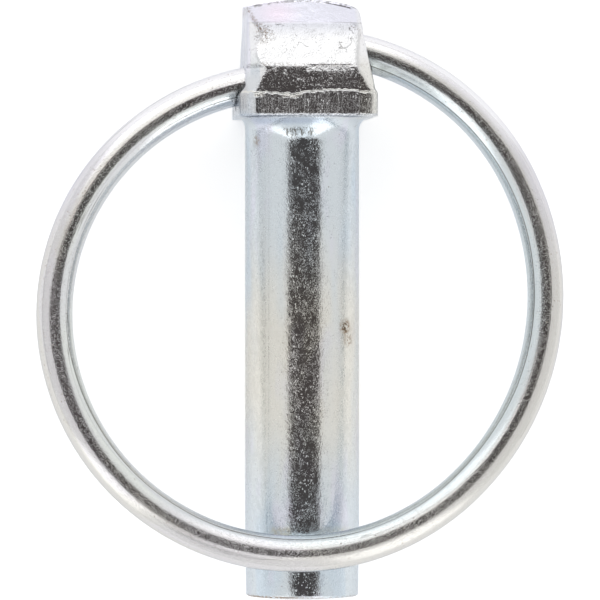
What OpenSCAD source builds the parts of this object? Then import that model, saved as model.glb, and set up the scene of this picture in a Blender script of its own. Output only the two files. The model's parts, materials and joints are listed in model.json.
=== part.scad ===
// Lynch pin: a forged pin with a block head, and a spring wire ring that turns in the head and closes over the shank.
// The pin lies on its back. +Y runs from the tip to the top of the head, and +Z is up, on the side where the ring
// closes. The origin is on the shank's axis, level with the underside of the head.

/* [Shank] */
// Diameter of the shank
shank_d = 11; // [9:0.1:14]
// Length of the shank below the head
shank_l = 46.4; // [38:0.1:56]
// Length of the slightly narrowed tip, where the closed ring crosses
tip_l = 7.4; // [6:0.1:9]
// How much narrower the shank is at the very tip
tip_taper = 0.16; // [0:0.02:0.5]
// Radius of the rounded rim at the tip
tip_round = 0.45; // [0.2:0.05:1]
// Radius of the fillet under the head
fillet_r = 0.8; // [0.3:0.1:0.8]

/* [Head] */
// Height of the whole head
head_h = 11.3; // [9.4:0.1:13.6]
// Height of the trimmed collar around the foot of the head
collar_h = 2.2; // [1.5:0.1:2.6]
// How far the collar stands out past the shank on each side
collar_side = 1.1; // [1.1:0.1:2]
// How far the collar stands out in front of the shank
collar_front = 1.4; // [1.2:0.1:2.5]
// How far the collar stands out behind the shank
collar_back = 0.9; // [0.9:0.1:2]
// How much wider than the shank the head is where the ring's hole runs
body_extra = 0.6; // [0:0.1:1.4]
// How far the head sits to the side of the shank's axis
head_shift = 0.2; // [0:0.05:0.2]

/* [Hole through the head] */
// Height of the hole above the underside of the head, on the shank's axis
hole_h = 4.5; // [4:0.1:5.4]
// Slope of the hole across the head, in degrees
hole_slope = 14; // [10:0.5:17]
// Running clearance around the wire ends
hole_clearance = 0.05; // [0.02:0.01:0.1]
// Depth of the countersink at each mouth
mouth_depth = 0.65; // [0.6:0.05:0.8]

/* [Ring] */
// Diameter of the spring wire
wire_d = 3.5; // [2.8:0.1:4.2]
// How far the ring's reach, laid flat, falls short of the tip
tip_past_ring = 4.17; // [3.8:0.01:6]
// How much tighter the bend beside the lower mouth is than the one that crosses the shank
first_bend_tighter = 0.36; // [0:0.02:1]
// How much wider the bend that climbs to the upper mouth is than the one that crosses the shank
third_bend_wider = 2.87; // [2:0.01:3.5]
// Radius inside the small crank that turns the wire into the upper mouth
crank_inside_r = 0.75; // [0.6:0.05:1]
// Straight wire outside the lower mouth
lead_out = 1.12; // [0.6:0.02:1.6]
// Straight wire between the crank and the upper mouth, below zero where the crank starts inside it
crank_out = -0.12; // [-0.2:0.02:0.3]
// Depth of each wire end inside the head
end_l = 4; // [2.5:0.1:4.5]

/* [Hidden] */
$fn = 96;
steel = [0.72, 0.74, 0.76];
spring_steel = [0.66, 0.68, 0.70];

// The collar's and the body's reach from the shank's axis
shank_r = shank_d / 2;
collar_half_w = shank_r + collar_side;
front = shank_r + collar_front;
back = shank_r + collar_back;
body_half_w = (shank_d + body_extra) / 2;
// The foot of the head's body stands this far inside the collar's edge
ledge = 0.3;
// Rounding of the head's edges in both of its outlines, and of the collar's upright corners
edge_round = 0.7;
corner_round = 1.1;

// The head's side view has a brow above the collar, a sloping front and a narrow crown.
// Drops are measured down from the top of the head, and setbacks inwards from the collar's front or back edge.
brow_h = collar_h + 2.6;
brow_setback = 0.5;
crown_drop = 2.1;
crown_setback = 2.4;
top_setback = 4.5;
nape_h = collar_h + 1;
nape_setback = 0.7;
top_back_setback = 1.7;
// The crown is a little narrower than the body
crown_taper = 0.3;

// The bends lie in the ring's own plane: x runs along the hole from the shank's axis, and y away from the tip.
// Each bend goes on from the last about a centre of its own, and the two centres lie on one line with the joint.
function polar(a) = [cos(a), sin(a)];
function squared(v) = v * v;
top_a = 90;
end_1 = top_a + 83;
end_2 = end_1 + 125.3;
end_3 = end_2 + 74.5;

// Where the hole's line meets the head's two sides
lower_mouth = (head_shift - body_half_w) / cos(hole_slope);
upper_mouth = (head_shift + body_half_w) / cos(hole_slope);
bend_start = lower_mouth - lead_out;

// The second bend crosses the shank at the ring's reach, and its radius is worked out from that.
// Its centre lies straight below start_point by its own radius.
reach = shank_l + hole_h - tip_past_ring;
crossing = reach * [-sin(hole_slope), -cos(hole_slope)];
start_point = [bend_start, 0] + first_bend_tighter * ([0, 1] - polar(end_1));
from_start = crossing - start_point;
r2 = -squared(from_start) / (2 * from_start[1]);
r1 = r2 - first_bend_tighter;
r3 = r2 + third_bend_wider;
centre_1 = [bend_start, -r1];
centre_2 = start_point - [0, r2];
centre_3 = centre_2 + (r2 - r3) * polar(end_2);

// The fourth bend starts where the third ends, and its radius is the one that meets the crank
crank_r = wire_d / 2 + crank_inside_r;
crank_centre = [upper_mouth + crank_out, -crank_r];
joint_3 = centre_3 + r3 * polar(end_3);
to_crank = crank_centre - joint_3;
r4 = (squared(crank_r) - squared(to_crank)) / (2 * (to_crank * polar(end_3) + crank_r));
centre_4 = joint_3 - r4 * polar(end_3);
end_4 = 360 + atan2(crank_centre[1] - centre_4[1], crank_centre[0] - centre_4[0]);

// Each bend as its centre, radius, start angle and end angle
bends = [
    [centre_1, r1, top_a, end_1],
    [centre_2, r2, end_1, end_2],
    [centre_3, r3, end_2, end_3],
    [centre_4, r4, end_3, end_4],
    [crank_centre, crank_r, end_4, 360 + top_a],
];

// The ring is tilted so that its wire rests on the front of the shank where it crosses
rest_gap = 0.05;
wire_height = shank_r + rest_gap + wire_d / 2;
ring_tilt = asin(-wire_height / crossing[1]);

// A short sleeve, a few hundredths of a millimetre thicker, joins each length of wire to the next
sleeve_l = 0.2;
sleeve_d = wire_d + 0.03;
// Each length stops this far short of its sleeve's middle: an angle in a bend, a length in a wire end
short_a = 0.05;
short_l = 0.02;

// Half of the shank's section, with the tip at the bottom and y = 0 at the underside of the head
module shank_section() {
    tip_r = shank_r - tip_taper / 2;
    union() {
        polygon([
            [0, -shank_l],
            [tip_r - tip_round, -shank_l],
            [tip_r - tip_round, tip_round - shank_l],
            [tip_r, tip_round - shank_l],
            [shank_r, tip_l - shank_l],
            [shank_r, collar_h],
            [0, collar_h],
        ]);
        intersection() {
            translate([tip_r - tip_round, tip_round - shank_l])
                circle(r = tip_round);
            translate([0, -shank_l])
                square([tip_r, tip_round]);
        }
        difference() {
            translate([shank_r - fillet_r, -fillet_r])
                square([2 * fillet_r, fillet_r]);
            translate([shank_r + fillet_r, -fillet_r])
                circle(r = fillet_r);
        }
    }
}

module shank() {
    rotate([-90, 0, 0])
        rotate_extrude()
            shank_section();
}

module rounded_outline(points) {
    offset(r = edge_round, $fn = 24)
        offset(delta = -edge_round)
            polygon(points);
}

// Front view of the head's body: x across and y up
module front_outline() {
    foot = collar_half_w - ledge;
    crown = body_half_w - crown_taper;
    half = [
        [foot, -edge_round],
        [foot, collar_h],
        [body_half_w + 0.3, collar_h + 1],
        [body_half_w, hole_h + 1],
        [crown, head_h - 3],
        [crown - 0.2, head_h - 0.8],
        [crown / 2, head_h],
    ];
    other_half = [for (i = [len(half) - 1:-1:0]) [-half[i][0], half[i][1]]];
    rounded_outline(concat(half, other_half));
}

// Side view of the head's body: x up and y to the front
module side_outline() {
    rounded_outline([
        [-edge_round, front - ledge],
        [collar_h + 0.4, front - ledge],
        [brow_h, front - brow_setback],
        [head_h - crown_drop, front - crown_setback],
        [head_h, front - top_setback],
        [head_h, 1 + top_back_setback - back],
        [head_h - 1, top_back_setback - back],
        [nape_h, nape_setback - back],
        [collar_h, ledge - back],
        [-edge_round, ledge - back],
    ]);
}

// The body is what both outlines share, above the underside
module head_body() {
    intersection() {
        translate([0, 0, -back])
            linear_extrude(height = back + front)
                front_outline();
        translate([-collar_half_w, 0, 0])
            rotate([90, 0, 90])
                linear_extrude(height = 2 * collar_half_w)
                    side_outline();
        translate([-collar_half_w, 0, -back])
            cube([2 * collar_half_w, head_h, back + front]);
    }
}

// The trimmed collar: a low block with rounded upright corners
module collar() {
    rotate([-90, 0, 0])
        linear_extrude(height = collar_h)
            offset(r = corner_round, $fn = 32)
                translate([corner_round - collar_half_w, corner_round - front])
                    square([2 * (collar_half_w - corner_round), front + back - 2 * corner_round]);
}

// A countersink at one mouth, opening away from the shank's axis along z
module mouth(bore_r) {
    outside = 0.5 * mouth_depth;
    translate([0, 0, -mouth_depth])
        cylinder(r1 = bore_r, r2 = bore_r + mouth_depth + outside, h = mouth_depth + outside);
}

// One straight hole slants across the head and takes both ends of the wire
module ring_hole() {
    bore_r = wire_d / 2 + hole_clearance;
    translate([0, hole_h, 0])
        rotate([0, 90, hole_slope]) {
            cylinder(r = bore_r, h = 6 * collar_half_w, center = true);
            translate([0, 0, upper_mouth])
                mouth(bore_r);
            translate([0, 0, lower_mouth])
                mirror([0, 0, 1])
                    mouth(bore_r);
        }
}

module pin() {
    color(steel)
        difference() {
            union() {
                shank();
                translate([head_shift, 0, 0]) {
                    head_body();
                    collar();
                }
            }
            ring_hole();
        }
}

// One bend of the wire, given as in the list of bends
module bend(b) {
    translate([b[0][0], b[0][1], 0])
        rotate([0, 0, b[2] + short_a])
            rotate_extrude(angle = b[3] - b[2] - 2 * short_a)
                translate([b[1], 0])
                    circle(d = wire_d);
}

// The sleeve around a bend's joint at angle a
module sleeve(b, a) {
    translate([b[0][0], b[0][1], 0])
        rotate([0, 0, a])
            translate([b[1], 0, 0])
                rotate([90, 0, 0])
                    cylinder(d = sleeve_d, h = sleeve_l, center = true);
}

// A straight wire end on the hole's line, from x0 to x1
module wire_end(x0, x1) {
    translate([x0, 0, 0])
        rotate([0, 90, 0])
            cylinder(d = wire_d, h = x1 - x0);
}

// The whole ring, flat in its own plane
module flat_ring() {
    union() {
        wire_end(bend_start + short_l, lower_mouth + end_l);
        wire_end(upper_mouth - end_l, crank_centre[0] - short_l);
        for (b = bends) {
            bend(b);
            sleeve(b, b[2]);
        }
        sleeve(bends[4], 360 + top_a);
    }
}

module ring() {
    color(spring_steel)
        translate([0, hole_h, 0])
            rotate([0, 0, hole_slope])
                rotate([-ring_tilt, 0, 0])
                    flat_ring();
}

pin();
ring();
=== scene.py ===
"""Lynch pin: a forged pin with a block head, and the spring wire ring that turns in the head."""

import json
import math

import bmesh
import bpy
import numpy as np
from bpy.props import FloatProperty, FloatVectorProperty, PointerProperty
from mathutils import Matrix, Vector, noise
from mathutils.geometry import interpolate_bezier


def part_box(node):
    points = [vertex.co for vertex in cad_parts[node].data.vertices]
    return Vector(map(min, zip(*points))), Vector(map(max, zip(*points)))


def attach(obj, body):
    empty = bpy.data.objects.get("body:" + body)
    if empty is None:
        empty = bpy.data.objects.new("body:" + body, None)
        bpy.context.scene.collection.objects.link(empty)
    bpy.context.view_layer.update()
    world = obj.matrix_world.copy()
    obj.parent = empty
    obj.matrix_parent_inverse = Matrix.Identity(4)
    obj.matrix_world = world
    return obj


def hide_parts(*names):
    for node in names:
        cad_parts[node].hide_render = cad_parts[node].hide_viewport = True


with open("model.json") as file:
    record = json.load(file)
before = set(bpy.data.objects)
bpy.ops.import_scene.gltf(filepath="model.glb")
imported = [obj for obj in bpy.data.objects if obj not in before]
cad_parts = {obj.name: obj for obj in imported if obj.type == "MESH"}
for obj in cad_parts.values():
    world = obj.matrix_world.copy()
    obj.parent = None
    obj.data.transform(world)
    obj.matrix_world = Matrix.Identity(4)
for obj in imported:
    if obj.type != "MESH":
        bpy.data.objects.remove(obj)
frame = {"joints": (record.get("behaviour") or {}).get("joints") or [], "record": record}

bl_info = {
    "name": "Lynch Pin",
    "version": (1, 0, 0),
    "blender": (4, 5, 0),
    "location": "3D View > Sidebar > Lynch Pin",
    "description": "A zinc plated lynch pin with its spring ring, on a lit table",
    "category": "Add Mesh",
}

MM = 0.001
TURN = 2 * math.pi
IN_DEGREES = 180 / math.pi

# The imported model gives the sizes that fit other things
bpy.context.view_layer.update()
PIN_LOW, PIN_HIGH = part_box("pin")
MOUNTS = {mount["name"]: mount for mount in frame["record"]["mounts"]}
SHANK_RADIUS = MOUNTS["shank"]["dims"]["r_mm"] * MM
SWING = next(joint for joint in frame["joints"] if joint["name"] == "ring_swing")
HOLE_HEIGHT = SWING["pos_m"][1]
HOLE_SLOPE = math.atan2(-SWING["axis"][1], -SWING["axis"][0])
HOLE_PLACE = Matrix.Translation((0, HOLE_HEIGHT, 0)) @ Matrix.Rotation(HOLE_SLOPE, 4, "Z")

# The way that the front faces, in degrees round the shank
FRONT = 90

# How finely the meshes are made
PIN_COLUMNS = 340
WIRE_SIDES = 56
BORE_SIDES = 96
WIRE_SPACING = 0.33 * MM

# How far each of the ring's first three bends turns, in degrees
BEND_TURNS = (83, 125.3, 74.5)

# How far the smeared metal hangs below the trimming line
SMEAR_DROP = 0.42 * MM

# Lights in the tent, as the camera sees them: degrees round from the right, from one to another,
# degrees away from the camera, from one to another, softness of those in degrees, and brightness
PANEL_SIDE_SOFTNESS = 5
PANELS = (
    (68, 128, 40, 80, 5, 1.8),  # above
    (82, 114, 24, 42, 4, 1.7),  # above and near
    (286, 320, 38, 88, 5, 1.95),  # below at the right
    (203, 227, 27, 84, 5, 1.9),  # below at the left
    (248, 288, 23, 35, 4, 1.6),  # below and near
    (232, 262, 38, 56, 5, 0.62),  # below and dim
    (155, 188, 73, 86, 5, 0.8),  # left and dim
)


def size(name, description, millimetres, smallest=0.0):
    """A length that a user may change."""
    return FloatProperty(
        name=name, description=description, default=millimetres * MM, min=smallest * MM,
        subtype="DISTANCE", unit="LENGTH", precision=5,
    )


def angle(name, description, degrees):
    """An angle that a user may change."""
    radians = math.radians(degrees)
    return FloatProperty(name=name, description=description, default=radians, subtype="ANGLE")


def share(name, description, default, most=1.0):
    """A plain factor that a user may change."""
    return FloatProperty(
        name=name, description=description, default=default, min=0.0, max=most, subtype="FACTOR"
    )


def colour(name, description, *default):
    """A colour that a user may change."""
    return FloatVectorProperty(
        name=name, description=description, default=default, size=3, min=0.0, max=1.0, subtype="COLOR"
    )


class PinSizes(bpy.types.PropertyGroup):
    """Sizes of the forged pin"""

    tip_length: size("Tip Length", "Length of the slightly narrowed tip", 7.4)
    tip_taper: size("Tip Taper", "How much narrower the shank is at its tip, on the diameter", 0.16)
    tip_round: size("Tip Rounding", "Radius of the rim at the tip", 0.26)
    tip_dome: size("Tip Dome", "How far the middle of the tip stands out past its rim", 0.34)
    fillet: size("Fillet", "Radius of the fillet under the head", 1.2)
    fillet_stretch: share("Fillet Stretch", "How much taller the fillet is in front", 1.15, 2.0)
    trim_height: size("Trim Height", "Height of the trimmed band around the foot of the head", 2.25)
    trim_step: size("Trim Step", "How far the head stands back above the trimmed band", 0.32)
    ledge: size("Trim Ledge", "Height over which the head steps back above the band in front", 0.04)
    brow_height: size("Brow Height", "Height of the upright brow above the head's underside", 4.75)
    brow_setback: size("Brow Setback", "How far the brow's top stands back from the band", 0.5)
    crown_drop: size("Bevel Drop", "How far the top bevel reaches down from the top", 2.3)
    crown_setback: size("Bevel Setback", "How far the sloped face has gone back at the top bevel", 2.32)
    top_setback: size("Top Setback", "How far the front has gone back at the top", 4.3)
    arch: size("Arch", "How much lower the top is at its sides than in the middle", 0.72)
    ear: share("Ear", "How much of that fall is missing at the back of the left side", 0.45)
    edge_round: size("Edge Rounding", "Radius around the top of the head", 0.13)
    rim_round: size("Rim Rounding", "Radius around the underside of the head", 0.07)
    shoulder: share("Shoulder", "How much larger the radius around the top is at the right", 4.5, 10.0)
    hole_clearance: size("Hole Clearance", "Play around the wire in its hole", 0.07)
    mouth: size("Mouth", "Width of the countersink at the hole's lower end", 0.4)
    upper_play: size("Upper Play", "How much wider the hole is at its upper end", 0.58)
    forging: size("Forging Marks", "Height of the uneven forged surface of the head", 0.05)


class RingSizes(bpy.types.PropertyGroup):
    """Sizes of the spring wire ring"""

    wire: size("Wire Diameter", "Diameter of the spring wire", 3.5, 0.5)
    tip_past_ring: size("Tip Past Ring", "How far the ring's reach falls short of the tip", 4.17)
    first_tighter: size("First Bend Tighter", "How much tighter the first bend is than the next", 0.36)
    third_wider: size("Third Bend Wider", "How much wider the third bend is than the second", 2.87)
    crank_inside: size("Crank Radius", "Radius inside the crank that the last bend is aimed at", 0.75)
    lead_out: size("Lead Out", "Straight wire outside the lower mouth", 1.12)
    crank_in: size("Crank Start", "How far inside the upper mouth the last bend is aimed", 0.12)
    end: size("Wire End", "Depth of each wire end inside the head", 4.0)
    rest_play: size("Rest Play", "Play between the closed ring and the shank", 0.05)
    body_width: size("Head Width", "Width of the head where the hole runs", 11.6)
    head_shift: size("Head Shift", "How far the head sits to the side of the shank", 0.2)


class FinishSettings(bpy.types.PropertyGroup):
    """Colours and polish of the zinc plate"""

    zinc: colour("Zinc", "Bright zinc plate", 0.58, 0.625, 0.655)
    blue: colour("Blue Tint", "Where the plate looks blue", 0.53, 0.61, 0.68)
    yellow: colour("Yellow Tint", "Where the plate looks yellow", 0.655, 0.64, 0.59)
    # Lavender is partly tone that drifts at random and partly a painted reflection near the top of the
    # ring
    lavender: colour("Lavender Tint", "Where the plate looks lavender", 0.62, 0.61, 0.70)
    # This tint is painted shade: the deeper blue of the shadowed table mirrored under the head
    painted_shade_blue: colour("Pooled Tint", "Deeper blue where the bath pooled under the head", 0.36, 0.42, 0.52)
    pink: colour("Pink Tint", "Where the plate looks pink", 0.92, 0.68, 0.80)
    # On the head's left face this colour is a painted reflection of lavender light
    bevel: colour("Top Bevel", "Plate on the head's top bevel and left face", 0.67, 0.67, 0.745)
    dull: colour("Dull Plate", "Plate on the upper part of the sloped face", 0.47, 0.475, 0.51)
    corner: colour("Corners", "Plate on the worn corners of the head", 0.65, 0.64, 0.60)
    forged: colour("Forged Faces", "Plate on the other faces of the head", 0.63, 0.63, 0.635)
    wire: colour("Wire", "Plate on the outside of the ring", 0.59, 0.58, 0.555)
    # This colour is a painted highlight on the tops of the head's corners and over the top of the ring
    bright: colour("Bright Plate", "Plate that stayed bright near the top", 0.77, 0.765, 0.785)
    wire_inside: colour("Wire Inside", "Plate on the inside of the ring", 0.60, 0.65, 0.67)
    # This colour is a painted reflection that lightens the inside of the ring at its left
    wire_left: colour("Wire Left", "Plate on the inside of the ring, at its left", 0.71, 0.725, 0.695)
    rubbed: colour("Rubbed Plate", "Yellowed plate where the closed ring rests", 0.56, 0.53, 0.43)
    # This colour is dirt, and also painted shade in the dark dashes under the head
    soil_and_painted_shade: colour("Soil", "Dark dirt in cracks and along edges", 0.12, 0.115, 0.10)
    rust: colour("Rust", "Rust specks and stains", 0.23, 0.14, 0.07)
    polish: share("Roughness", "Roughness of the smoothest plate", 0.075)


class StudioSettings(bpy.types.PropertyGroup):
    """Camera and light"""

    distance: size("Camera Distance", "Distance from the camera to the pin", 480)
    view_width: size("View Width", "Width that the camera takes in at the pin", 57.9)
    aim_across: size("Aim Across", "How far beside the shank's axis the camera aims", -0.2, -50.0)
    turn: angle("Turn", "How far the camera stands round the pin", 4.5)
    table: colour("Table", "Colour of the table", 0.82, 0.82, 0.82)
    table_glow: share("Table Glow", "Light that comes up through the table", 0.45)
    tent: share("Tent", "Brightness of the white tent around the pin", 1.03, 4.0)
    panels: share("Panels", "Brightness of all the light panels", 1.0, 4.0)
    shade: share("Shade", "Brightness of the dark opening around the camera", 0.088, 4.0)
    opening: colour("Opening", "Colour of the dark opening around the camera", 1.0, 0.90, 0.885)


# ---------------- shader expressions


class Socket:
    """An output of a shader graph that can be used in sums, products and powers."""

    def __init__(self, graph, socket):
        self.graph = graph
        self.socket = socket

    def is_vector(self):
        return self.socket.type in ("VECTOR", "RGBA")

    def maths(self, operation, first, second=None):
        """A Math node, or a Vector Math node where either value is a vector."""
        inputs = {i: v for i, v in enumerate((first, second)) if v is not None}
        vectors = (
            isinstance(v, tuple) or isinstance(v, Socket) and v.is_vector() for v in inputs.values()
        )
        if any(vectors):
            inputs = {i: (v,) * 3 if isinstance(v, (int, float)) else v for i, v in inputs.items()}
            return self.graph.node("ShaderNodeVectorMath", {"operation": operation}, inputs)
        return self.graph.node("ShaderNodeMath", {"operation": operation}, inputs)

    def __add__(self, other):
        return self.maths("ADD", self, other)

    def __radd__(self, other):
        return self.maths("ADD", other, self)

    def __sub__(self, other):
        return self.maths("SUBTRACT", self, other)

    def __rsub__(self, other):
        return self.maths("SUBTRACT", other, self)

    def __mul__(self, other):
        return self.maths("MULTIPLY", self, other)

    def __rmul__(self, other):
        return self.maths("MULTIPLY", other, self)

    def __truediv__(self, other):
        return self.maths("DIVIDE", self, other)

    def __rtruediv__(self, other):
        return self.maths("DIVIDE", other, self)

    def __pow__(self, other):
        return self.maths("POWER", self, other)

    def __rpow__(self, other):
        return self.maths("POWER", other, self)

    def __abs__(self):
        return self.maths("ABSOLUTE", self)

    def arccos(self):
        return self.maths("ARCCOSINE", self)

    def arctan2(self, other):
        return self.maths("ARCTAN2", self, other)

    def measure(self, operation, other):
        """One number from this vector and another."""
        inputs = {0: self, 1: tuple(other)}
        return self.graph.node("ShaderNodeVectorMath", {"operation": operation}, inputs, "Value")

    def dot(self, direction):
        return self.measure("DOT_PRODUCT", direction)

    def distance(self, place):
        return self.measure("DISTANCE", place)

    def axis(self, name):
        """One coordinate of this vector."""
        return self.graph.node("ShaderNodeSeparateXYZ", None, {0: self}, name)

    def rises(self, low, high):
        """0 up to low, 1 from high, and smooth between them. High may be under low."""
        if low > high:
            return 1 - self.rises(high, low)
        inputs = {0: self, 1: low, 2: high, 3: 0.0, 4: 1.0}
        return self.graph.node("ShaderNodeMapRange", {"interpolation_type": "SMOOTHSTEP"}, inputs)

    def within(self, low, high, soft):
        """1 between low and high, and 0 beyond their soft edges."""
        return self.rises(low - soft, low + soft) * self.rises(high + soft, high - soft)


class Graph:
    """The node tree of one material or world."""

    def __init__(self, tree):
        self.tree = tree
        tree.nodes.clear()

    def node(self, kind, settings=None, inputs=None, output=0):
        """Adds a node: its type, its settings, and then the values or links of its sockets."""
        made = self.tree.nodes.new(kind)
        for name, value in (settings or {}).items():
            setattr(made, name, value)
        for name, value in (inputs or {}).items():
            if isinstance(value, Socket):
                self.tree.links.new(value.socket, made.inputs[name])
            else:
                made.inputs[name].default_value = value
        return Socket(self, made.outputs[output]) if made.outputs else None

    def mix(self, factor, first, second):
        """A blend of two colours."""
        first, second = (v if isinstance(v, Socket) else (*v, 1.0) for v in (first, second))
        settings = {"data_type": "RGBA", "clamp_factor": True}
        return self.node("ShaderNodeMix", settings, {0: factor, 6: first, 7: second}, 2)

    def clouds(self, place, scale, detail=2.0, roughness=0.5):
        """Soft noise from 0 to 1 about 0.5."""
        inputs = {"Vector": place * scale, "Scale": 1.0, "Detail": detail, "Roughness": roughness}
        return self.node("ShaderNodeTexNoise", None, inputs)

    def dots(self, place, scale, radius, chance):
        """Scattered round dots that fade from 1 in the middle to 0 at the radius.

        The scale is how many could lie along a millimetre, and the chance is how many of them do.
        """
        settings = {"Vector": place * scale, "Scale": 1.0}
        middle = self.node("ShaderNodeTexVoronoi", None, settings, "Distance")
        lot = self.node("ShaderNodeTexVoronoi", None, settings, "Color")
        number = self.node("ShaderNodeSeparateColor", None, {0: lot}, "Red")
        chosen = number.rises(1 - chance, 1.01 - chance)
        return middle.rises(radius, radius * 0.2) * chosen

    def hairlines(self, place, scale, width, common):
        """Short crooked lines, 1 along their middle."""
        line = abs(self.clouds(place, scale) - 0.5).rises(width, 0.0)
        kept = self.clouds(place + (5.0, 9.0, 2.0), scale * 0.9, 1.0).rises(1 - common, 1.04 - common)
        return line * kept

    def relief(self, height, depth):
        """A bump whose height of 1 stands for that depth in metres."""
        return self.node("ShaderNodeBump", None, {"Height": height, "Distance": depth, "Strength": 1.0})

    def surface(self, kind, inputs, output="ShaderNodeOutputMaterial"):
        """The shader that the tree ends in."""
        shader = self.node(kind, None, inputs)
        self.node(output, None, {"Surface": shader})


def new_material(name):
    """A material and its empty node tree."""
    material = bpy.data.materials.new(name)
    material.use_nodes = True
    return material, Graph(material.node_tree)


def plated_metal(graph, base, roughness, normal):
    """The plated surface itself. Its edges stay as dark as zinc's do."""
    graph.surface("ShaderNodeBsdfPrincipled", {
        "Base Color": base,
        "Metallic": 1.0,
        "Specular Tint": (0.80, 0.82, 0.85, 1.0),
        "Roughness": roughness,
        "Normal": normal,
    })


def pin_material(finish, pin):
    """Bright zinc over a drawn shank and a rougher forged head, with lengths in millimetres."""
    material, graph = new_material("pin_zinc_plate")
    place = graph.node("ShaderNodeTexCoord", output="Object") * (1 / MM)
    across, along, up = (place.axis(name) for name in "XYZ")
    level_place = place * (1.0, 0.0, 1.0)
    over_trim = graph.node("ShaderNodeAttribute", {"attribute_name": "over_trim"}, output="Fac")
    trim_height = pin.trim_height / MM
    brow_height = pin.brow_height / MM
    brow_rise = brow_height - trim_height
    bevel_foot = (PIN_HIGH.y - pin.crown_drop) / MM
    tip = PIN_LOW.y / MM

    # Parts of the pin
    head = along.rises(-0.3, 0.1)
    shank = 1 - head
    band = (over_trim + trim_height).within(0.15, trim_height - 0.05, 0.1)
    brow = over_trim.within(0.3, brow_rise, 0.1)
    lip = over_trim.within(brow_rise - 0.55, brow_rise, 0.08) * across.within(-0.1, 4.4, 0.25)
    smear = across.within(-2.5, -0.6, 0.3) + across.within(-5.1, -4.2, 0.2)
    smear = smear * over_trim.within(-SMEAR_DROP / MM, 0.0, 0.1)
    bevel = along.rises(bevel_foot - 0.2, bevel_foot + 0.1)
    rim = along.within(-0.05, 0.22, 0.05)
    wander = (graph.clouds(place, 0.6, 1.0) - 0.5) * 0.35

    # Colour: a cool plate that turns warm along the middle of the shank, with faint drifts
    # of blue and lavender
    drift = graph.clouds(place + (31.0, 5.0, 17.0), (0.38, 0.11, 0.38))
    cool = graph.clouds(place + (3.0, 11.0, 7.0), (0.38, 0.08, 0.38), 1.0)
    middle = (along + cool * 12).within(-27, -9, 6)
    base = graph.mix(middle, finish.zinc, finish.yellow)
    base = graph.mix(cool.rises(0.5, 0.68) * (0.7 - middle * 0.5), base, finish.blue)
    base = graph.mix(drift.rises(0.52, 0.66) * (0.55 - middle * 0.3), base, finish.lavender)

    # Lavender and pink over the top of the head, and duller plate just under it
    base = graph.mix(head * up.rises(0.0, 2.0), base, finish.forged)
    base = graph.mix(along.rises(bevel_foot - 2.0, bevel_foot) * up.rises(2.6, 3.2), base, finish.dull)
    base = graph.mix(bevel * 0.95, base, finish.bevel)
    pink = (place * (0.7, 1.0, 0.0)).distance((-1.9, 9.9, 0.0)).rises(2.0, 0.0)
    base = graph.mix(pink * bevel * 0.3, base, finish.pink)
    # Painted reflection: the left face is lightened to the bevel's lavender, as if it mirrored a lavender
    # light beside it
    left_face = across.rises(-5.25, -5.4) * along.rises(3.0, 5.0)
    base = graph.mix(left_face * 0.8, base, finish.bevel)

    # The head's corners, worn plate with painted light: bluer at the left as a painted teal reflection,
    # deeper blue at their foot as painted shade, and brighter at their top as a painted highlight
    left_corner = (across + along.rises(7.9, 10.6) * 1.6).rises(-4.4, -4.6) * (1 - left_face)
    corner = across.rises(4.7, 5.3) + left_corner
    cold = along.within(4.0, 8.5, 1.0) + along.rises(3.0, 1.0) * across.rises(-4.8, -6.0)
    corner_wear_and_painted_light = graph.mix(cold * across.rises(0.0, -1.0) * 0.45, finish.corner, finish.blue)
    corner_wear_and_painted_light = graph.mix(along.rises(4.9, 4.3) * across.rises(0.0, -1.0) * 0.42, corner_wear_and_painted_light, finish.painted_shade_blue)
    corner_wear_and_painted_light = graph.mix(along.rises(4.2, 6.6) * 0.8, corner_wear_and_painted_light, finish.bright)
    base = graph.mix(corner * head * 0.85, base, corner_wear_and_painted_light)

    # Painted shade: deeper blue under the head and around its lower edge, for the shadowed table mirrored
    # there
    under = along.within(-0.75, -0.1, 0.25) * up.rises(2.0, 4.5) * across.rises(4.0, 0.0)
    base = graph.mix(under * 0.7, base, finish.painted_shade_blue)
    base = graph.mix(rim * 0.3, base, finish.painted_shade_blue)

    # Brown stains on the shank: a blot at its right with a halo, a trail below that, and one more at
    # its upper left
    crumbs = graph.clouds(place, 3.4, 3.0, 0.7)
    near_blot = place.distance((3.8, -20.1, 3.95))
    blot = crumbs.rises(0.42, 0.52) * near_blot.rises(1.0, 0.3)
    trail = crumbs.rises(0.47, 0.56) * place.distance((4.15, -21.4, 3.6)).rises(0.9, 0.1)
    upper_left = crumbs.rises(0.42, 0.56) * place.distance((-4.6, -2.3, 3.0)).rises(0.8, 0.1)
    stain = blot + trail * 0.8 + upper_left * 0.7
    halo = place.distance((4.1, -20.8, 3.65)).rises(1.8, 0.4)

    # Pits: a cluster at each upper corner of the slope, and along the head's worn edges
    left_pits = place.distance((-4.1, 7.7, 4.8)).rises(1.5, 0.5)
    left_edge = abs(across + 4.1 + (along - 7.9) * 0.6).rises(0.5, 0.05) * along.rises(7.5, 8.1) * head
    left_rim = across.rises(-5.5, -5.9) * along.within(0.5, 3.0, 0.4)
    side_edge = abs(across + 4.7 + wander).rises(0.4, 0.0) * along.within(5.0, 7.8, 0.4)
    right_pits = place.distance((4.9, 8.6, 4.4)).rises(1.1, 0.3)
    brow_top = abs(along - (brow_height + 0.1)).rises(0.4, 0.0) * up.rises(3.0, 4.0)
    worn_edges = left_pits + right_pits + left_edge + side_edge * 0.6 + brow_top * 0.35
    pitted = graph.dots(place, 5.0, 0.42, 0.6) * worn_edges
    pitted = pitted + crumbs.rises(0.50, 0.60) * (left_edge * 0.6 + left_pits * 0.35 + brow_top * 0.25)
    specks = graph.dots(place, 0.9, 0.07, 0.14)

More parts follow.
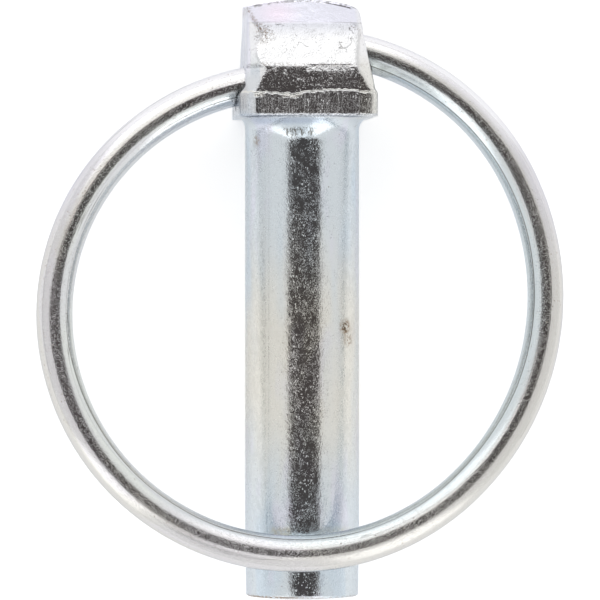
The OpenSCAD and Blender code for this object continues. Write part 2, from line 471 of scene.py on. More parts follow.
    # Soil on the tip's rim, mostly at the left, and yellowed plate where the closed ring rests
    tip_rim = along.rises(tip + 0.65, tip + 0.3) * level_place.distance((0.0, 0.0, 0.0)).rises(4.2, 5.1)
    tip_soil = tip_rim * crumbs.rises(0.40, 0.54) * (across.rises(0.5, -3.5) * 0.6 + 0.35)
    rubbed = across.within(-3.3, -1.5, 0.3) + across.within(1.4, 4.4, 0.8) * 0.5
    rubbed = rubbed * along.within(-40.1, -39.3, 0.3) * crumbs.rises(0.30, 0.55) * up.rises(1.0, 2.0)
    base = graph.mix(rubbed * 0.7, base, finish.rubbed)
    brown = specks * 0.8 + stain * 0.9 + halo * 0.14 + pitted * 0.7 + tip_soil * 1.3
    brown = brown + left_edge * 0.08 + left_rim * 0.2
    base = graph.mix(brown, base, finish.rust)
    base = graph.mix(blot * near_blot.rises(0.7, 0.2) * 0.6, base, finish.soil_and_painted_shade)

    # Fine dark lines: one along the edge of the bevel, cracks on the slope, dirt over the top edge,
    # and short dashes under the head that are painted shade, the dark opening mirrored in the fillet
    edge_line = abs(along - (bevel_foot - 0.02) + wander * 0.3).rises(0.12, 0.0) * up.rises(3.0, 3.4)
    cracks = graph.hairlines(place, 0.75, 0.012, 0.46)
    cracks = cracks + graph.hairlines(place + (3.0, 1.0, 8.0), 1.5, 0.014, 0.4) * 0.5
    cracks = cracks * along.within(6.2, 9.0, 0.7) * up.rises(3.0, 3.6)
    trim_edge = (over_trim.within(-0.06, 0.14, 0.05) + smear) * up.rises(2.0, 3.0)
    top_soil = (along + across * across * 0.024 + wander * 0.4).within(11.02, 11.4, 0.06)
    top_soil = top_soil * graph.clouds(place, 2.4).rises(0.42, 0.6) * up.within(2.1, 3.3, 0.3)
    base = graph.mix(edge_line * 0.2 + cracks * 0.6 + top_soil * 0.55, base, finish.soil_and_painted_shade)
    base = graph.mix(trim_edge * 0.7, base, finish.corner)
    shear = graph.clouds(place, (6.0, 0.35, 6.0), 3.0, 0.65)
    # Painted shade: dark dashes that stand for the dark opening mirrored in the fillet under the head
    painted_shade_dashes = (along + (shear - 0.5) * 1.5).within(-1.75, -1.0, 0.1) * shear.rises(0.48, 0.58)
    painted_shade_dashes = painted_shade_dashes * across.within(-2.2, 0.8, 0.2) * up.rises(2.0, 3.0)
    base = graph.mix(painted_shade_dashes * 0.85, base, finish.soil_and_painted_shade)

    # Roughness: hazy patches over a bright plate
    haze = graph.clouds(place + (7.0, 2.0, 1.0), (1.6, 1.0, 1.6), 5.0, 0.75).rises(0.42, 0.72)
    sides = abs(across).rises(2.4, 3.3) * along.rises(-0.5, -1.0)
    open_shank = along.rises(-1.5, -2.6)
    roughness = finish.polish + haze * open_shank * 0.24 + sides * 0.15 + stain * 0.3 + head * 0.03

    # Relief: a fine crystalline plate with sparse crests, a die line down the shank, and shear
    # marks on the trimmed band
    long_place = place * (1.0, 0.6, 1.0)
    patches = graph.clouds(place, (1.3, 0.9, 1.3), 4.0, 0.7)
    patches = patches + (graph.clouds(place, (0.3, 0.12, 0.3), 1.0) - 0.5) * 0.4
    fine = graph.clouds(long_place, 9.0, 2.0, 0.6)
    crystals = graph.clouds(long_place, 12.0, 1.0).rises(0.54, 0.66) * patches.rises(0.36, 0.60)
    grain = graph.clouds(long_place, 3.6, 2.0, 0.55)
    crests = graph.clouds(long_place + (4.0, 8.0, 3.0), 6.5, 1.0).rises(0.62, 0.78)
    crests = crests * graph.clouds(place + (2.0, 7.0, 9.0), (1.0, 0.7, 1.0)).rises(0.40, 0.58)
    chips = graph.clouds(place, 3.4, 2.0, 0.6)
    height = fine * (head * 0.018 + 0.006) + crystals * (0.007 - head * 0.003)
    height = height + grain * 0.013 + crests * 0.02
    height = height + shear * (band * 0.05 + brow * across.rises(0.2, 1.2) * 0.025)
    height = height + (chips - 0.5) * rim * 0.1
    height = height + chips * (brow * 0.012 + band * 0.02 + head * 0.008 + (lip + smear) * 0.07)
    height = height - pitted * 0.05 - cracks * 0.03
    die_turn = math.radians(-41)
    die_place = (SHANK_RADIUS / MM * math.sin(die_turn), 0.0, SHANK_RADIUS / MM * math.cos(die_turn))
    height = height - level_place.distance(die_place).rises(0.2, 0.0) * shank * 0.012
    plated_metal(graph, base, roughness, graph.relief(height, MM))
    return material


def ring_material(finish):
    """Zinc over drawn spring wire, in coordinates along the wire, outward and to the front."""
    material, graph = new_material("ring_zinc_plate")
    wire_place = graph.node("ShaderNodeAttribute", {"attribute_name": "wire_place"}, output="Vector")
    outward = wire_place.axis("Y")
    place = graph.node("ShaderNodeTexCoord", output="Object") * (1 / MM)
    along = place.axis("Y")

    # Colour: warmer outside the ring and cooler inside it, with drifts of lavender, a painted reflection
    # lightening the inside at the left, and a painted lavender reflection and painted highlight near the
    # top
    drift = graph.clouds(wire_place, (0.05, 0.35, 0.35))
    inside = (outward + (drift - 0.5) * 2).rises(0.2, -1.3)
    base = graph.mix(inside, finish.wire, finish.wire_inside)
    # Painted reflection: the inside of the ring is lightened at its left
    left = place.axis("X").rises(-6.0, -18.0)
    base = graph.mix(left * outward.rises(0.2, -0.8) * 0.8, base, finish.wire_left)
    # Painted reflection: lavender over the outside near the top, beside random drifts of lavender
    upper = along.rises(-17.0, -6.0) * outward.rises(0.2, 0.9)
    base = graph.mix(drift.rises(0.50, 0.62) * 0.3 + upper * 0.45, base, finish.lavender)
    # Painted highlight: bright plate over the outside at the top
    top = along.rises(-5.0, 0.5) * outward.rises(0.3, 0.9)
    base = graph.mix(top * 0.9, base, finish.bright)

    # Pits, specks and scuffs, and dark lines drawn along the wire
    worn = graph.clouds(wire_place, (0.08, 0.5, 0.5), 1.0).rises(0.40, 0.60)
    pits = graph.dots(wire_place, 3.2, 0.26, 0.34) * worn
    specks = graph.dots(wire_place, 0.8, 0.08, 0.25)
    scuffs = graph.clouds(wire_place, (1.2, 5.0, 5.0), 3.0, 0.7).rises(0.56, 0.70) * worn
    base = graph.mix(pits * 0.6 + specks * 0.6 + scuffs * 0.12, base, finish.rust)
    drawn = graph.hairlines(wire_place * (0.03, 1.0, 1.0) + (2.0, 5.0, 3.0), 0.8, 0.012, 0.55)
    base = graph.mix(drawn * 0.3, base, finish.soil_and_painted_shade)
    wander = graph.clouds(wire_place + (7.0, 1.0, 4.0), (0.06, 0.3, 0.3), 1.0)
    die_line = (outward + (wander - 0.5) * 0.6).within(-1.23, -1.17, 0.02)
    die_line = die_line * wire_place.axis("Z").rises(0.3, 0.7) * wander.rises(0.32, 0.44)
    base = graph.mix(die_line * 0.9, base, finish.soil_and_painted_shade)

    # Roughness: faint haze, and more of it low on the ring
    low = along.rises(-31.0, -38.0)
    haze = graph.clouds(wire_place, (0.2, 1.0, 1.0), 3.0, 0.6).rises(0.45, 0.7)
    roughness = finish.polish + haze * 0.08 + low * 0.02

    # Relief: very fine crystals, sparse wider ones, and drawing lines along the wire
    fine = graph.clouds(wire_place, (11.0, 15.0, 15.0), 1.0).rises(0.52, 0.70)
    crests = graph.clouds(wire_place + (4.0, 8.0, 3.0), (8.0, 10.0, 10.0), 1.0, 0.6).rises(0.56, 0.68)
    lines = graph.clouds(wire_place, (0.06, 6.0, 6.0), 2.0, 0.6)
    height = fine * (low * 0.003 + 0.002) + crests * (low * 0.002 + 0.006)
    height = height + lines * 0.006 - pits * 0.02 - drawn * 0.004
    plated_metal(graph, base, roughness, graph.relief(height, MM))
    return material


# ---------------- pin


def eased(outline, heights, soft):
    """Reach of an outline at each height, with its corners eased over a soft distance."""
    at, reach = zip(*outline)
    shifts = np.linspace(-soft, soft, 9)
    return np.mean([np.interp(heights + shift, at, reach) for shift in shifts], axis=0)


def bell(values, middle, width):
    """1 at the middle, and smoothly down to 0 over a few widths."""
    return np.exp(-(((values - middle) / width) ** 2))


def head_faces(pin):
    """The faces round the head: the way each one faces, in degrees, and its reach by height.

    A face is upright below its first height.
    """
    top = PIN_HIGH.y
    foot = pin.trim_height
    step = pin.trim_step
    rise = 0.14 * MM
    front, back, right, left = PIN_HIGH.z, -PIN_LOW.z, PIN_HIGH.x, -PIN_LOW.x
    bevel = top - pin.crown_drop
    return [
        (FRONT, [
            (foot, front),
            (foot + pin.ledge, front - step),
            (pin.brow_height, front - pin.brow_setback),
            (bevel, front - pin.crown_setback),
            (top, front - pin.top_setback),
        ]),
        (270, [
            (foot, back),
            (foot + rise, back - step),
            (foot + 2 * MM, back - 2 * step),
            (top - 2 * MM, back - 3 * step),
            (top, back - 5 * step),
        ]),
        (0, [
            (foot, right),
            (foot + 3 * rise, right - 0.22 * MM),
            (4.1 * MM, right - 0.42 * MM),
            (8.2 * MM, right - 1.25 * MM),
            (9.6 * MM, right - 1.3 * MM),
            (top, right - 1.5 * MM),
        ]),
        (180, [
            (foot - rise, left),
            (foot + 4 * rise, left - 0.62 * MM),
            (5.6 * MM, left - 0.76 * MM),
            (top, left - 0.88 * MM),
        ]),
        # The left front corner is flattened most where the sloped face meets the top bevel
        (143, [
            (foot, 8.2 * MM),
            (foot + 3 * rise, 7.85 * MM),
            (pin.brow_height - 0.2 * MM, 7.0 * MM),
            (pin.brow_height + 0.2 * MM, 7.4 * MM),
            (5.8 * MM, 7.4 * MM),
            (6.6 * MM, 7.2 * MM),
            (7.9 * MM, 6.29 * MM),
            (bevel, 6.5 * MM),
            (top, 6.5 * MM),
        ]),
        (45, [
            (foot, 9.3 * MM),
            (foot + 3 * rise, 8.9 * MM),
            (pin.brow_height, 7.95 * MM),
            (6.0 * MM, 7.6 * MM),
            (8.3 * MM, 7.15 * MM),
            (bevel, 6.6 * MM),
            (top, 5.0 * MM),
        ]),
        (225, [(foot, 8.75 * MM), (foot + 2 * MM, 7.75 * MM), (top, 7.0 * MM)]),
        (315, [(foot, 9.0 * MM), (foot + 2 * MM, 7.8 * MM), (top, 6.2 * MM)]),
    ]


def head_radius(pin, directions, heights):
    """The head's reach in each direction at each height, with its faces blended at their edges."""
    crisp = 90
    total = np.zeros_like(directions)
    for facing, outline in head_faces(pin):
        # The front's corners are the sharpest
        soft = 0.05 * MM if facing == FRONT else 0.16 * MM
        reach = eased(outline, heights, soft)
        toward = np.maximum(np.cos(directions - math.radians(facing)), 1e-3)
        total += (toward * SHANK_RADIUS / reach) ** crisp
    return SHANK_RADIUS * total ** (-1 / crisp)


def trim_wave(across):
    """The trimming line at the foot of the head dips left of the middle and rises to the right."""
    dip = -0.18 * MM * bell(across, -2.6 * MM, 1.6 * MM) - 0.16 * MM * bell(across, -1.2 * MM, 0.5 * MM)
    rise = 0.22 * MM * bell(across, 2.8 * MM, 2.0 * MM)
    ragged = [0.17 * MM * noise.noise(Vector((x / (0.31 * MM), 3.7, 0.0))) for x in across]
    return dip + rise + np.array(ragged)


def trim_smear(across):
    """Where, from 0 to 1, the metal is smeared down below the trimming line."""
    return bell(across, -1.5 * MM, 0.85 * MM) + 0.8 * bell(across, -4.6 * MM, 0.45 * MM)


def brow_chip(across, heights):
    """How far the brow's upper edge is chipped back: right of the middle, and at a nick left of it."""
    right = 1 / (1 + np.exp(-across / (0.1 * MM))) / (1 + np.exp((across - 4.3 * MM) / (0.15 * MM)))
    nick = 0.6 * bell(across, -3.1 * MM, 0.16 * MM)
    start, full, end = 4.12 * MM, 4.7 * MM, 4.92 * MM
    return 0.1 * MM * (right + nick) * np.interp(heights, (start, full, end), (0, 1, 0))


def shaped_radius(pin, directions, heights):
    """The head's reach with its uneven trimming line and brow, and the heights over that line."""
    radius = head_radius(pin, directions, heights)
    in_front = np.clip(np.sin(directions) * 4, 0, 1)
    wave_width = 0.8 * MM
    smear_depth, smear_top = 0.1 * MM, 0.08 * MM
    for _ in range(2):
        across = radius * np.cos(directions)
        even = heights - trim_wave(across) * bell(heights, pin.trim_height, wave_width) * in_front
        radius = head_radius(pin, directions, even)
    over_trim = even - pin.trim_height
    hanging = np.interp(over_trim, (-SMEAR_DROP, 0, smear_top), (0, 1, 0))
    smear = smear_depth * trim_smear(across) * hanging
    return radius - (brow_chip(across, heights) + smear) * in_front, over_trim


def spread_heights(first, last, count, crowded):
    """Heights from first to last, closer together around each crowded (height, width, how much)."""
    fine = np.linspace(first, last, 2000)
    density = 1 + sum(much * bell(fine, height, width) for height, width, much in crowded)
    share_so_far = np.cumsum(density)
    share_so_far = (share_so_far - share_so_far[0]) / (share_so_far[-1] - share_so_far[0])
    return np.interp(np.linspace(0, 1, count), share_so_far, fine)


def pin_rows(pin):
    """Rows round the pin from the tip's middle to the top's.

    Each row has a radius, a height, and a height over the trimming line, all by direction.
    """
    steps = np.linspace(0, TURN, PIN_COLUMNS, endpoint=False)
    # More columns fall on the front, and on the corners of the head
    directions = steps + 0.1 * np.sin(4 * steps) + 0.4 * np.cos(steps)
    ones = np.ones(PIN_COLUMNS)
    tip_y = PIN_LOW.y
    tip_radius = SHANK_RADIUS - pin.tip_taper / 2
    rows = []

    def add_row(radius, height, over_trim=None):
        below = height - pin.trim_height
        rows.append((radius * ones, height * ones, below * ones if over_trim is None else over_trim))

    # Tip face and rim. The middle of each end face is closed later, inside its innermost row
    innermost = 0.03
    flat = tip_radius - pin.tip_round
    for part in np.linspace(innermost, 1, 12):
        add_row(flat * part, tip_y + pin.tip_dome * part ** 2)
    rim_y = tip_y + pin.tip_dome
    for turn in np.linspace(0, math.pi / 2, 9)[1:]:
        add_row(flat + pin.tip_round * math.sin(turn), rim_y + pin.tip_round * (1 - math.cos(turn)))

    # Tapered tip and plain shank
    for height in np.linspace(rim_y + pin.tip_round, tip_y + pin.tip_length, 10)[1:]:
        part = (height - rim_y - pin.tip_round) / (pin.tip_length - pin.tip_dome - pin.tip_round)
        add_row(tip_radius + (SHANK_RADIUS - tip_radius) * part, height)
    fillet_foot = -2.6 * pin.fillet
    for height in np.linspace(tip_y + pin.tip_length, fillet_foot, 28)[1:]:
        add_row(SHANK_RADIUS, height)

    # Fillet, as wide as the underside leaves room for, and drawn out into a longer flare in front
    rim = pin.rim_round
    foot = head_radius(pin, directions, 0 * ones)
    fillet = np.minimum(pin.fillet, foot - rim - SHANK_RADIUS)
    in_front = np.clip(np.sin(directions), 0, 1) ** 3
    tall = pin.fillet * (1 + pin.fillet_stretch * in_front)
    for turn in np.linspace(0, math.pi / 2, 24):
        flare = (1 - in_front) * (1 - math.cos(turn)) + in_front * math.sin(turn) ** 2
        add_row(SHANK_RADIUS + fillet * flare, -tall * (1 - math.sin(turn)))
    for part in np.linspace(0, 1, 8)[1:]:
        add_row((SHANK_RADIUS + fillet) * (1 - part) + (foot - rim) * part, 0)
    for turn in np.linspace(0, math.pi / 2, 5)[1:]:
        add_row(foot - rim + rim * math.sin(turn), rim * (1 - math.cos(turn)))

    # Sides of the head, up to where each one starts to round over the top
    top = PIN_HIGH.y
    edge_round = pin.edge_round * (1 + pin.shoulder * np.clip(np.cos(directions), 0, 1) ** 3)
    crowded = (
        (pin.trim_height, 0.4 * MM, 4.0),
        (pin.brow_height, 0.5 * MM, 1.5),
        (top - pin.crown_drop, 0.3 * MM, 0.7),
    )
    for height in spread_heights(rim, top, 152, crowded)[1:]:
        heights = rim + (height - rim) * (top - edge_round - rim) / (top - rim)
        radius, over_trim = shaped_radius(pin, directions, heights)
        add_row(radius, heights, over_trim)

    # Rounded top edge and the top itself
    edge = rows[-1][0]
    for turn in np.linspace(0, math.pi / 2, 9)[1:]:
        add_row(edge - edge_round * (1 - math.cos(turn)), top - edge_round * (1 - math.sin(turn)))
    for part in np.linspace(1, innermost, 18)[1:]:
        add_row((edge - edge_round) * part, top)
    return directions, *(np.array(values) for values in zip(*rows))


def forging_marks(pin, points):
    """Moves each point a little in or out, as on a hammered head and, far less, on a drawn shank."""
    foot = -0.2 * MM
    growing = 1.5 * MM
    streak_depth = 0.018 * MM
    shank_depth = 0.006 * MM
    core_top = 9 * MM
    centre_line = np.zeros_like(points)
    centre_line[:, 1] = np.clip(points[:, 1], None, core_top)
    outward = points - centre_line
    outward /= np.maximum(np.linalg.norm(outward, axis=1, keepdims=True), 1e-9)
    shift = np.zeros(len(points))
    for i, point in enumerate(points):
        if point[1] > foot:
            place = Vector(point / MM)
            low = noise.noise(place * 0.35) + 0.5 * noise.noise(place * 0.9)
            fine = 0.22 * noise.noise(place * 2.3)
            grow = min(1.0, (point[1] - foot) / growing)
            shift[i] = pin.forging * (low + fine) * grow - 0.3 * pin.forging
            if 0.3 * MM < point[1] < pin.trim_height:
                streak = noise.noise(Vector((place.x * 1.7, place.y * 0.12, place.z * 1.7)))
                shift[i] += streak_depth * streak
        else:
            place = Vector((point[0] / MM, point[1] / MM * 0.18, point[2] / MM))
            shift[i] = shank_depth * noise.noise(place * 0.7)
    return points + outward * shift[:, None]


def skin(mesh, circles):
    """Makes the faces between circles of points that follow each other."""
    count = len(circles[0])
    for near, after in zip(circles, circles[1:]):
        for i in range(count):
            j = (i + 1) % count
            mesh.faces.new((near[i], near[j], after[j], after[i]))


def close(mesh, circle):
    """Makes the faces from a circle of points to a new one in its middle, and returns that one."""
    count = len(circle)
    middle = mesh.verts.new(sum((v.co for v in circle), Vector()) / count)
    for i in range(count):
        mesh.faces.new((middle, circle[i], circle[(i + 1) % count]))
    return middle


def pin_mesh(pin):
    """The pin without its hole, with each point's height over the trimming line stored for its finish."""
    directions, radii, heights, over_trim = pin_rows(pin)
    across = radii * np.cos(directions)
    up = radii * np.sin(directions)
    # The top is arched from side to side, with its crest a little right of the middle
    arch_foot = 7.0 * MM
    crest = 0.4 * MM
    lift = np.clip((heights - arch_foot) / (PIN_HIGH.y - arch_foot), 0, 1)
    beside = (across - crest) / np.where(across < crest, 6.0 * MM, 4.6 * MM)
    # It falls less at the back of the left side, which stands up as an ear
    ear = np.clip(-up / (3 * MM), 0, 1) * np.clip(-across / (5 * MM), 0, 1)
    along = heights - pin.arch * lift**2 * beside**2 * (1 - pin.ear * ear)
    points = np.stack([across, along, up], axis=2).reshape(-1, 3)
    points = forging_marks(pin, points)

    mesh = bmesh.new()
    trim_layer = mesh.verts.layers.float.new("over_trim")
    verts = []
    for point, over in zip(points, over_trim.ravel()):
        verts.append(mesh.verts.new(point))
        verts[-1][trim_layer] = over / MM
    circles = [verts[first : first + PIN_COLUMNS] for first in range(0, len(verts), PIN_COLUMNS)]
    skin(mesh, circles)
    close(mesh, circles[0])
    close(mesh, circles[-1])
    bmesh.ops.recalc_face_normals(mesh, faces=mesh.faces)
    return mesh


def new_piece(name, mesh):
    """An object made from a bmesh."""
    data = bpy.data.meshes.new(name)
    mesh.to_mesh(data)
    mesh.free()
    piece = bpy.data.objects.new(name, data)
    bpy.context.scene.collection.objects.link(piece)
    return piece


def hole_tool(pin, ring):
    """The drill for the ring's hole: one turned solid, wider where the wire's upper end is bent."""
    bore = ring.wire / 2 + pin.hole_clearance
    far = 12 * MM
    lower, upper = mouth_places(ring)
    wide = bore + pin.mouth
    upper_bore = bore + pin.upper_play
    profile = [
        (-far, wide),
        (lower - pin.mouth, wide),
        (lower + 0.7 * pin.mouth, bore),
        (upper - ring.end + 0.2 * MM, bore),
        (upper - 2.2 * MM, upper_bore),
        (far, upper_bore),
    ]
    mesh = bmesh.new()
    circles = []
    for x, radius in profile:
        turns = (TURN * i / BORE_SIDES for i in range(BORE_SIDES))
        circle = [(x, radius * math.cos(turn), radius * math.sin(turn)) for turn in turns]
        circles.append([mesh.verts.new(point) for point in circle])
    skin(mesh, circles)
    mesh.faces.new(circles[0])
    mesh.faces.new(circles[-1])
    bmesh.ops.recalc_face_normals(mesh, faces=mesh.faces)
    mesh.transform(HOLE_PLACE)
    return new_piece("hole_tool", mesh)


def cut(piece, tool):
    """Takes the tool's shape out of the piece and removes the tool."""
    modifier = piece.modifiers.new("hole", "BOOLEAN")
    modifier.operation = "DIFFERENCE"
    modifier.solver = "EXACT"
    modifier.object = tool
    evaluated = piece.evaluated_get(bpy.context.evaluated_depsgraph_get())
    cut_mesh = bpy.data.meshes.new_from_object(evaluated)
    piece.modifiers.clear()
    piece.data = cut_mesh
    bpy.data.objects.remove(tool)


def finish_surface(piece, material, crease):
    """Gives a piece its material, and smooth shading up to a crease of so many degrees."""
    piece.data.materials.clear()
    piece.data.materials.append(material)
    piece.data.shade_smooth()
    piece.data.set_sharp_from_angle(angle=math.radians(crease))


# ---------------- ring


def mouth_places(ring):
    """Where the hole's line meets the two sides of the head, measured along the hole."""
    half = ring.body_width / 2
    return tuple((ring.head_shift + side * half) / math.cos(HOLE_SLOPE) for side in (-1, 1))


def polar(turn):
    """The direction at that angle in the ring's plane."""
    return Vector((math.cos(turn), math.sin(turn)))


def ring_bends(ring):
    """The wire's bends in the ring's own plane, and the tilt that rests the ring just clear of the shank.

    Each bend is its centre, radius, first and last angle, and goes on from the last one. x runs along
    the hole from the shank's axis, and y away from the tip.
    """
    lower, upper = mouth_places(ring)
    start = math.pi / 2
    turn_1, turn_2, turn_3 = (math.radians(degrees) for degrees in BEND_TURNS)
    end_1 = start + turn_1
    end_2 = end_1 + turn_2
    end_3 = end_2 + turn_3
    bend_start = lower - ring.lead_out
    reach = -PIN_LOW.y + HOLE_HEIGHT - ring.tip_past_ring
    crossing = -reach * Vector((math.sin(HOLE_SLOPE), math.cos(HOLE_SLOPE)))
    start_point = Vector((bend_start, 0)) + ring.first_tighter * (Vector((0, 1)) - polar(end_1))
    from_start = crossing - start_point
    radius_2 = -from_start.length_squared / (2 * from_start.y)
    radius_1 = radius_2 - ring.first_tighter
    radius_3 = radius_2 + ring.third_wider
    centre_1 = Vector((bend_start, -radius_1))
    centre_2 = start_point - Vector((0, radius_2))
    centre_3 = centre_2 + (radius_2 - radius_3) * polar(end_2)

    # The fourth bend starts where the third ends, and heads for a small crank at the upper mouth
    crank = ring.wire / 2 + ring.crank_inside
    crank_centre = Vector((upper - ring.crank_in, -crank))
    joint_3 = centre_3 + radius_3 * polar(end_3)
    to_crank = crank_centre - joint_3
    radius_4 = (crank**2 - to_crank.length_squared) / (2 * (to_crank.dot(polar(end_3)) + crank))
    centre_4 = joint_3 - radius_4 * polar(end_3)
    end_4 = TURN + math.acos((upper - centre_4.x) / radius_4)
    tilt = math.asin((SHANK_RADIUS + ring.rest_play + ring.wire / 2) / -crossing.y)
    bends = [
        (centre_1, radius_1, start, end_1),
        (centre_2, radius_2, end_1, end_2),
        (centre_3, radius_3, end_2, end_3),
        (centre_4, radius_4, end_3, end_4),
    ]
    return bends, tilt


def wire_line(ring):
    """Points and headings along the wire, from one end in the hole to the other, and the ring's tilt."""
    bends, tilt = ring_bends(ring)
    lower, upper = mouth_places(ring)
    line = []
    for x in np.arange(lower + ring.end, bends[0][0].x, -WIRE_SPACING):
        line.append((Vector((x, 0)), Vector((-1, 0))))
    for centre, radius, first, last in bends:
        steps = round((last - first) * radius / WIRE_SPACING)
        for turn in np.linspace(first, last, steps, endpoint=False):
            line.append((centre + radius * polar(turn), polar(turn + math.pi / 2)))

    # Inside the head the wire eases from the slope of its last bend to the line of the hole
    first_handle, last_handle = 1.7 * MM, 1.6 * MM
    points_inside = 14
    centre, radius, _, last = bends[-1]
    mouth = centre + radius * polar(last)
    inside = Vector((upper - ring.end, 0))
    after_mouth = mouth + first_handle * polar(last + math.pi / 2)
    before_end = inside + Vector((last_handle, 0))
    knots = (knot.to_3d() for knot in (mouth, after_mouth, before_end, inside))
    curve = [Vector(point[:2]) for point in interpolate_bezier(*knots, points_inside)]
    for point, after in zip(curve, curve[1:]):
        line.append((point, (after - point).normalized()))
    line.append((inside, Vector((-1, 0))))
    return line, tilt


def ring_mesh(ring):
    """The wire swept along its line, with its own coordinates stored for its finish."""
    line, tilt = wire_line(ring)
    radius = ring.wire / 2
    mesh = bmesh.new()
    place_layer = mesh.verts.layers.float_vector.new("wire_place")
    length = 0.0
    circles = []
    last_point = line[0][0]
    chamfer = 0.25 * MM
    unevenness = 0.005 * MM
    slack = 0.003 * MM
    total = sum((b[0] - a[0]).length for a, b in zip(line, line[1:]))
    for point, heading in line:
        length += (point - last_point).length
        last_point = point
        side = Vector((heading.y, -heading.x))
        inset = max(0.0, chamfer - min(length, total - length))
        circle = []
        for i in range(WIRE_SIDES):
            turn = TURN * i / WIRE_SIDES
            out, up = math.cos(turn), math.sin(turn)
            own = Vector((length / MM, out * radius / MM, up * radius / MM))
            uneven = unevenness * noise.noise(Vector((own.x * 0.12, own.y * 1.1, own.z * 1.1)))
            reach = radius - inset - slack + uneven
            vert = mesh.verts.new((*(point + side * out * reach), up * reach))
            vert[place_layer] = own
            circle.append(vert)
        circles.append(circle)
    skin(mesh, circles)
    for circle in (circles[0], circles[-1]):
        close(mesh, circle)[place_layer] = circle[0][place_layer]
    bmesh.ops.recalc_face_normals(mesh, faces=mesh.faces)
    mesh.transform(HOLE_PLACE @ Matrix.Rotation(-tilt, 4, "X"))
    return mesh


# ---------------- stage


def camera_axes(studio):
    """Right, up and towards the camera, as the camera stands over the pin."""
    turn = studio.turn
    return (
        Vector((math.cos(turn), 0, math.sin(turn))),
        Vector((0, 1, 0)),
        Vector((-math.sin(turn), 0, math.cos(turn))),
    )


def make_camera(studio):
    """A long lens over the middle of the pin."""
    right, up, toward = camera_axes(studio)
    middle = (PIN_LOW.y + PIN_HIGH.y) / 2
    aim = studio.aim_across * right + middle * up
    data = bpy.data.cameras.new("camera")
    data.sensor_width = 36.0
    data.lens = data.sensor_width * studio.distance / studio.view_width
    data.clip_start = 0.01
    data.clip_end = 10.0
    camera = bpy.data.objects.new("camera", data)
    bpy.context.scene.collection.objects.link(camera)
    rotation = Matrix((right, up, toward)).transposed().to_4x4()
    camera.matrix_world = Matrix.Translation(aim + studio.distance * toward) @ rotation
    bpy.context.scene.camera = camera


def make_table(studio):
    """A round white table, lit a little from below."""
    mesh = bmesh.new()
    bmesh.ops.create_circle(mesh, cap_ends=True, segments=128, radius=2.6)
    mesh.transform(Matrix.Translation((0, 0, PIN_LOW.z)))
    table = new_piece("table", mesh)
    material, graph = new_material("table_white")
    graph.surface("ShaderNodeBsdfPrincipled", {
        "Base Color": (*studio.table, 1.0),
        "Roughness": 0.9,
        "Specular IOR Level": 0.0,
        "Emission Color": (1.0, 1.0, 1.0, 1.0),
        "Emission Strength": studio.table_glow,
    })
    table.data.materials.append(material)


def make_tent(studio):
    """A white light tent with brighter panels and a dark opening around the camera."""
    world = bpy.data.worlds.new("light_tent")
    world.use_nodes = True
    bpy.context.scene.world = world
    graph = Graph(world.node_tree)
    direction = graph.node("ShaderNodeTexCoord", output="Generated")
    right, up, toward = camera_axes(studio)
    across = direction.dot(right)
    along = direction.dot(up)
    off = direction.dot(toward).arccos() * IN_DEGREES
    turn = (along * -1).arctan2(across * -1) * IN_DEGREES + 180

    # The opening is a rounded oblong with its lower left corner cut off
    half_width = 0.55
    half_height = 0.385
    roundness = 4.0
    beside = abs((across - 0.05) / half_width) ** roundness
    above = abs((along - 0.06 - across * 0.08) / half_height) ** roundness
    corner = (across * 0.68 + along * 0.73).rises(-0.37, -0.30)
    opening = (beside + above).rises(1.2, 0.75) * corner
    strength = opening * (studio.shade - studio.tent) + studio.tent
    for first, last, near, far, soft, light in PANELS:
        mask = turn.within(first, last, PANEL_SIDE_SOFTNESS) * off.within(near, far, soft)
        strength = strength * (1 - mask) + mask * (light * studio.panels)
    hue = graph.mix(opening, (1.0, 1.0, 1.0), studio.opening)
    graph.surface("ShaderNodeBackground", {"Color": hue, "Strength": strength}, "ShaderNodeOutputWorld")


# ---------------- operators and panel


class LYNCHPIN_OT_stage(bpy.types.Operator):
    """Adds the table, the light tent and the camera"""

    bl_idname = "lynchpin.stage"
    bl_label = "Add Stage"

    def execute(self, context):
        studio = context.scene.lynchpin_studio
        make_camera(studio)
        make_table(studio)
        make_tent(studio)
        context.scene.view_settings.view_transform = "Standard"
        return {"FINISHED"}


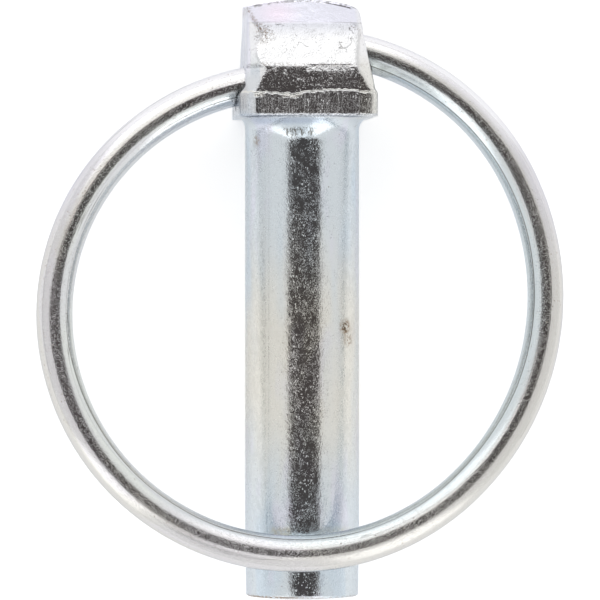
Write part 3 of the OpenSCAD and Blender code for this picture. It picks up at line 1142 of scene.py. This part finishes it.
class LYNCHPIN_OT_pin(bpy.types.Operator):
    """Adds the forged pin with the ring's hole through its head"""

    bl_idname = "lynchpin.pin"
    bl_label = "Add Pin"

    def execute(self, context):
        scene = context.scene
        piece = new_piece("forged_pin", pin_mesh(scene.lynchpin_pin))
        cut(piece, hole_tool(scene.lynchpin_pin, scene.lynchpin_ring))
        finish_surface(piece, pin_material(scene.lynchpin_finish, scene.lynchpin_pin), crease=38)
        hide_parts("pin")
        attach(piece, "pin")
        return {"FINISHED"}


class LYNCHPIN_OT_ring(bpy.types.Operator):
    """Adds the spring wire ring"""

    bl_idname = "lynchpin.ring"
    bl_label = "Add Ring"

    def execute(self, context):
        scene = context.scene
        piece = new_piece("spring_ring", ring_mesh(scene.lynchpin_ring))
        finish_surface(piece, ring_material(scene.lynchpin_finish), crease=50)
        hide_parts("ring")
        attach(piece, "ring")
        return {"FINISHED"}


class LYNCHPIN_PT_panel(bpy.types.Panel):
    """Makes the lynch pin and its stage"""

    bl_idname = "LYNCHPIN_PT_panel"
    bl_label = "Lynch Pin"
    bl_space_type = "VIEW_3D"
    bl_region_type = "UI"
    bl_category = "Lynch Pin"

    def draw(self, context):
        for group, _, operator in GROUPS:
            box = self.layout.box()
            settings = getattr(context.scene, group)
            for name in settings.__annotations__:
                box.prop(settings, name)
            if operator:
                box.operator(operator.bl_idname)


# Each group of settings in the scene: its name, its class, and the operator that it is for
GROUPS = (
    ("lynchpin_studio", StudioSettings, LYNCHPIN_OT_stage),
    ("lynchpin_finish", FinishSettings, None),
    ("lynchpin_pin", PinSizes, LYNCHPIN_OT_pin),
    ("lynchpin_ring", RingSizes, LYNCHPIN_OT_ring),
)
CLASSES = (
    StudioSettings,
    FinishSettings,
    PinSizes,
    RingSizes,
    LYNCHPIN_OT_stage,
    LYNCHPIN_OT_pin,
    LYNCHPIN_OT_ring,
    LYNCHPIN_PT_panel,
)


def register():
    for cls in CLASSES:
        bpy.utils.register_class(cls)
    for name, settings, _ in GROUPS:
        setattr(bpy.types.Scene, name, PointerProperty(type=settings))


def unregister():
    for name, _, _ in GROUPS:
        delattr(bpy.types.Scene, name)
    for cls in reversed(CLASSES):
        bpy.utils.unregister_class(cls)


def main():
    register()
    bpy.ops.lynchpin.stage()
    bpy.ops.lynchpin.pin()
    bpy.ops.lynchpin.ring()


if __name__ == "__main__":
    main()
